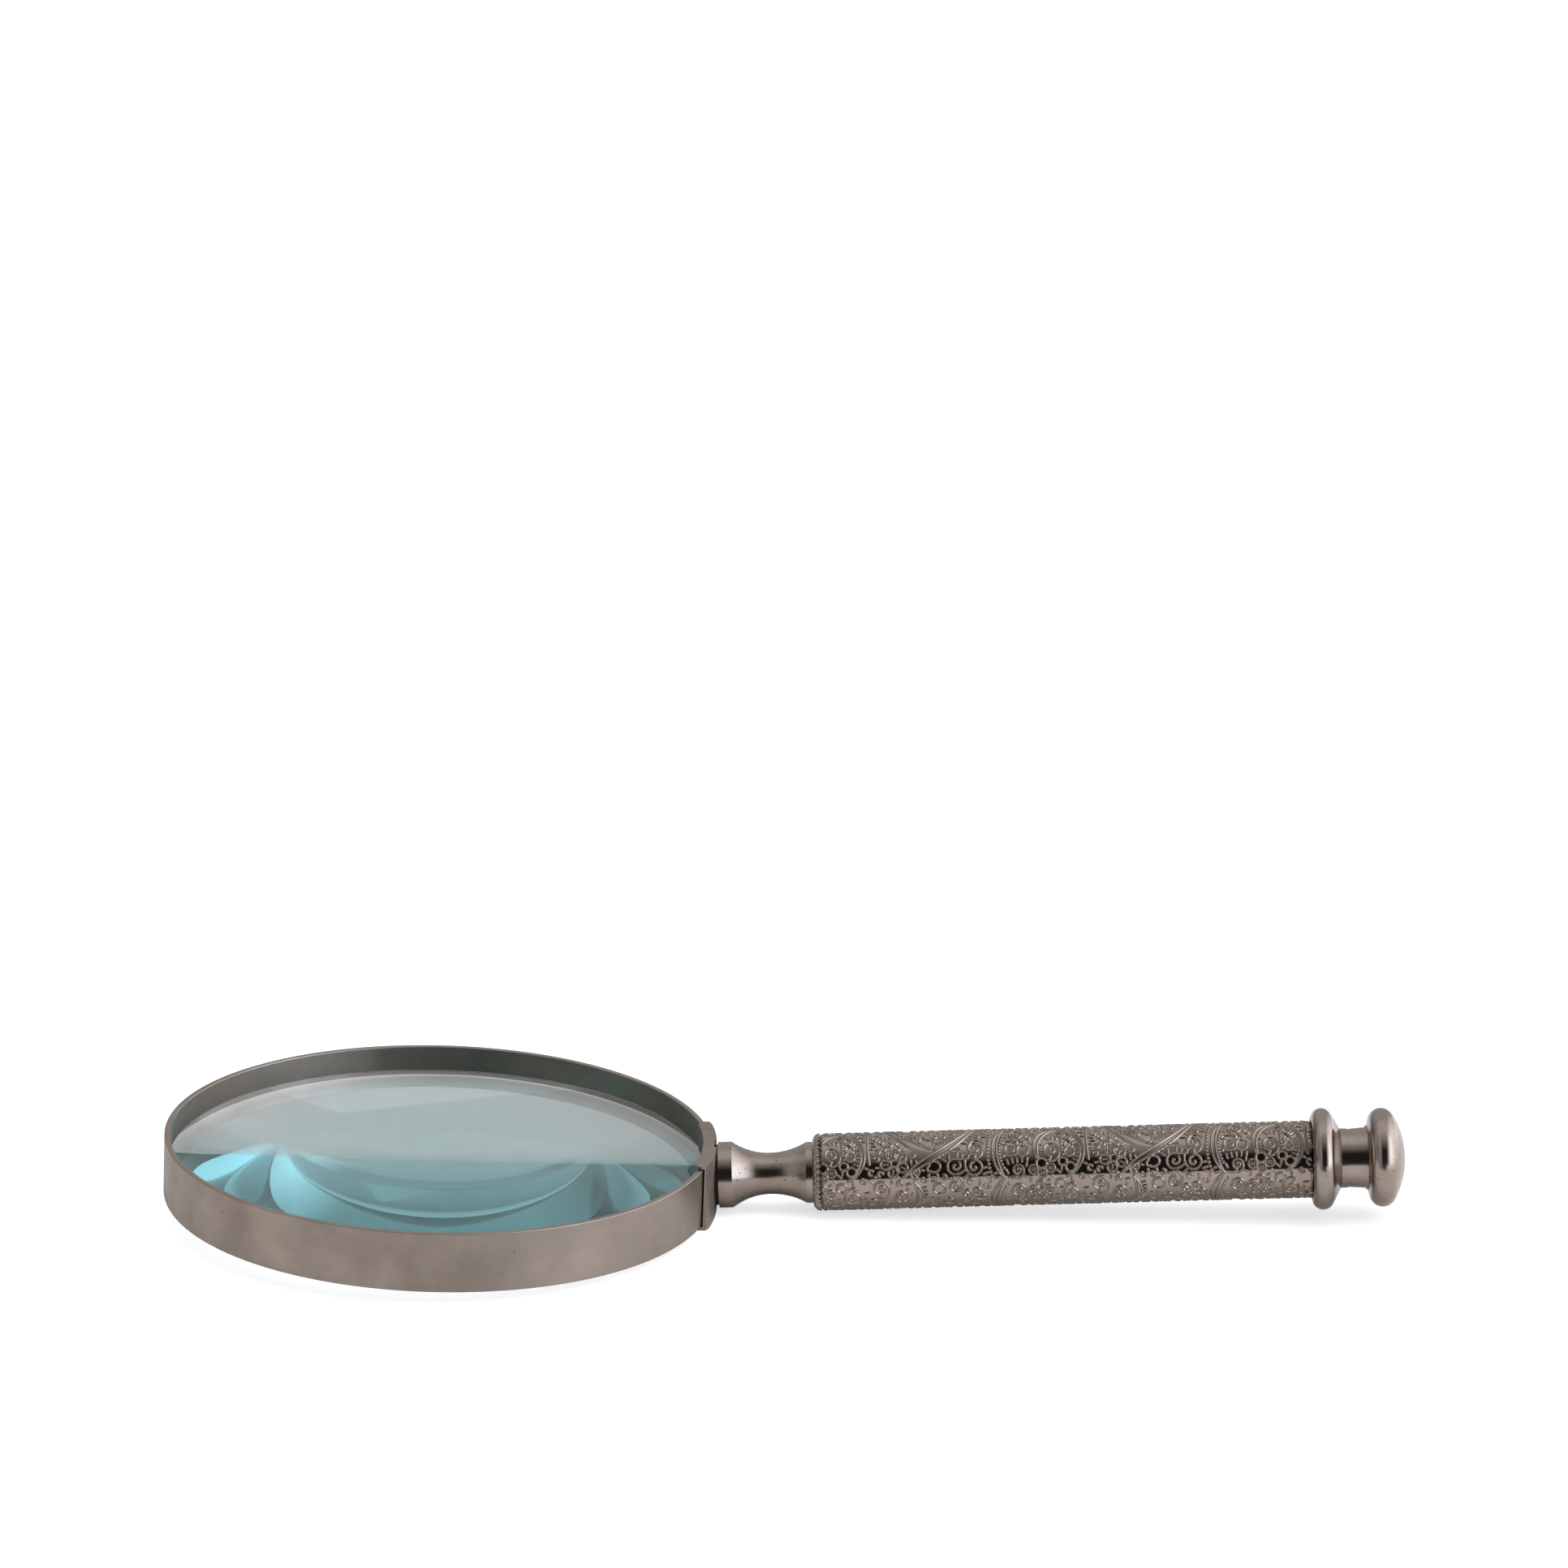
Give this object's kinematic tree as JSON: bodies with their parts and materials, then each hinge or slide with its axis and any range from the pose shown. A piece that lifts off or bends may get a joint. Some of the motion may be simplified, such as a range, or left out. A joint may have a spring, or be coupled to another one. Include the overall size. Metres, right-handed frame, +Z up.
{
  "type": "hand magnifying glass",
  "caption": "Hand magnifier: biconvex lens in a flat metal hoop, closed by a block, on a waisted neck and an embossed tubular handle with a ring-and-knob pommel.",
  "frame": {"origin": "on the table, under the middle of the whole length; the block's underside and the handle's front shoulder touch z = 0", "axes": "+Z up; +X from the lens towards the handle; +Y to the left of a person looking along +X"},
  "size_m": [0.2538, 0.112, 0.0226],
  "materials": {
    "nickel_plate": "polished",
    "lens_glass": "gloss",
    "fibre": "matte",
    "steel": "satin",
    "bare_brass": "satin"
  },
  "bodies": {
    "magnifier": {"rim_hoop": "nickel_plate", "rim_block": "nickel_plate", "lens": "lens_glass", "neck_washer": "fibre", "neck": "nickel_plate", "neck_nut": "steel", "tie_rod": "steel", "front_cap": "nickel_plate", "core_tube": "bare_brass", "handle_sleeve": "nickel_plate", "rear_plug": "bare_brass", "pommel_ring": "nickel_plate", "pommel_spacer": "nickel_plate"},
    "washer": {"knob_washer": "nickel_plate"},
    "knob": {"end_knob": "nickel_plate"}
  },
  "joints": [
    {"name": "knob_travel", "type": "slide", "parent": "magnifier", "child": "washer", "axis": [0.9992, 0, 0.0393], "range_m": [0, 0.0056]},
    {"name": "knob_screw", "type": "hinge", "parent": "washer", "child": "knob", "pos_m": [0.11897, 0, 0.01232], "axis": [0.9992, 0, 0.0393], "range_deg": [0, 2880]}
  ],
  "couplings": [
    {"joint": "knob_travel", "follows": "knob_screw", "m_per_rad": 0.00011141}
  ]
}
